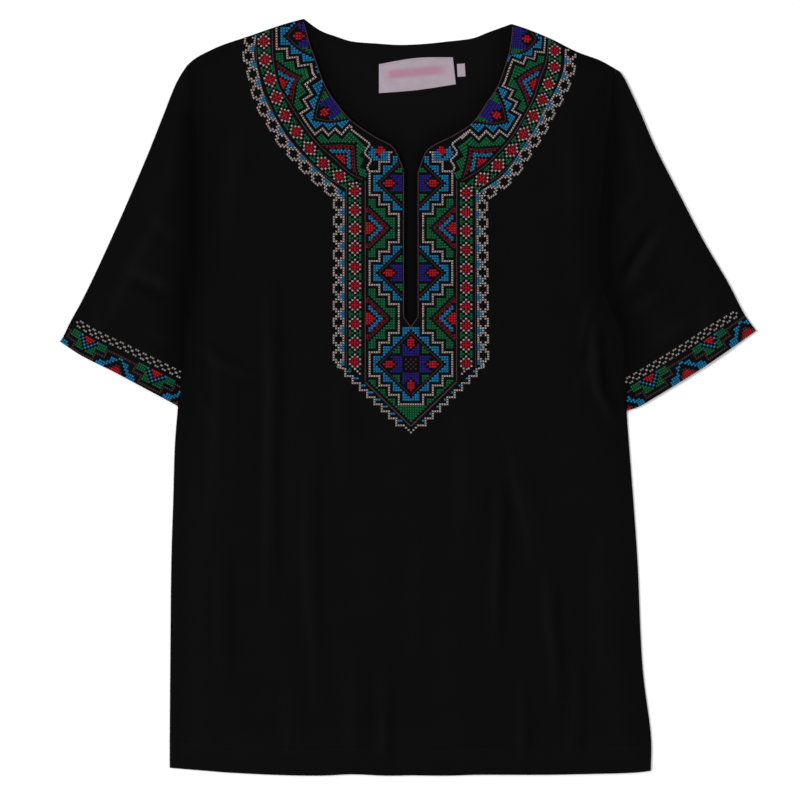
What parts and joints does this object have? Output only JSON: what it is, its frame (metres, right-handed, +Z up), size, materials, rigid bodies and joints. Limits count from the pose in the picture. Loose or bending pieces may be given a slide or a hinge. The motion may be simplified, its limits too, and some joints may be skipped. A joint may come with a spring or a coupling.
{
  "type": "embroidered tunic",
  "caption": "Short-sleeved black cloth tunic laid flat, with a round neck, an open placket slit and bands of cross-stitch round the neck, placket and cuffs.",
  "frame": {"origin": "centre of the flat underside of the tunic, on the surface that it lies on", "axes": "+Y from the hem to the neck, +X across it towards the sleeve on the viewer's right, +Z up out of the surface"},
  "size_m": [0.7656, 0.8333, 0.0073],
  "materials": {
    "black_cloth": "matte plain weave",
    "label_cloth": "satin-faced woven tape",
    "embroidery_thread": "lustrous embroidery thread in cream, red, green, sky blue, royal blue and brown",
    "sewing_thread": "matte black sewing thread"
  },
  "bodies": {
    "root": {"front_panel": "black_cloth", "back_panel": "black_cloth", "sleeve_left": "black_cloth", "sleeve_right": "black_cloth", "neck_label": "label_cloth", "size_tab": "label_cloth"}
  },
  "joints": []
}
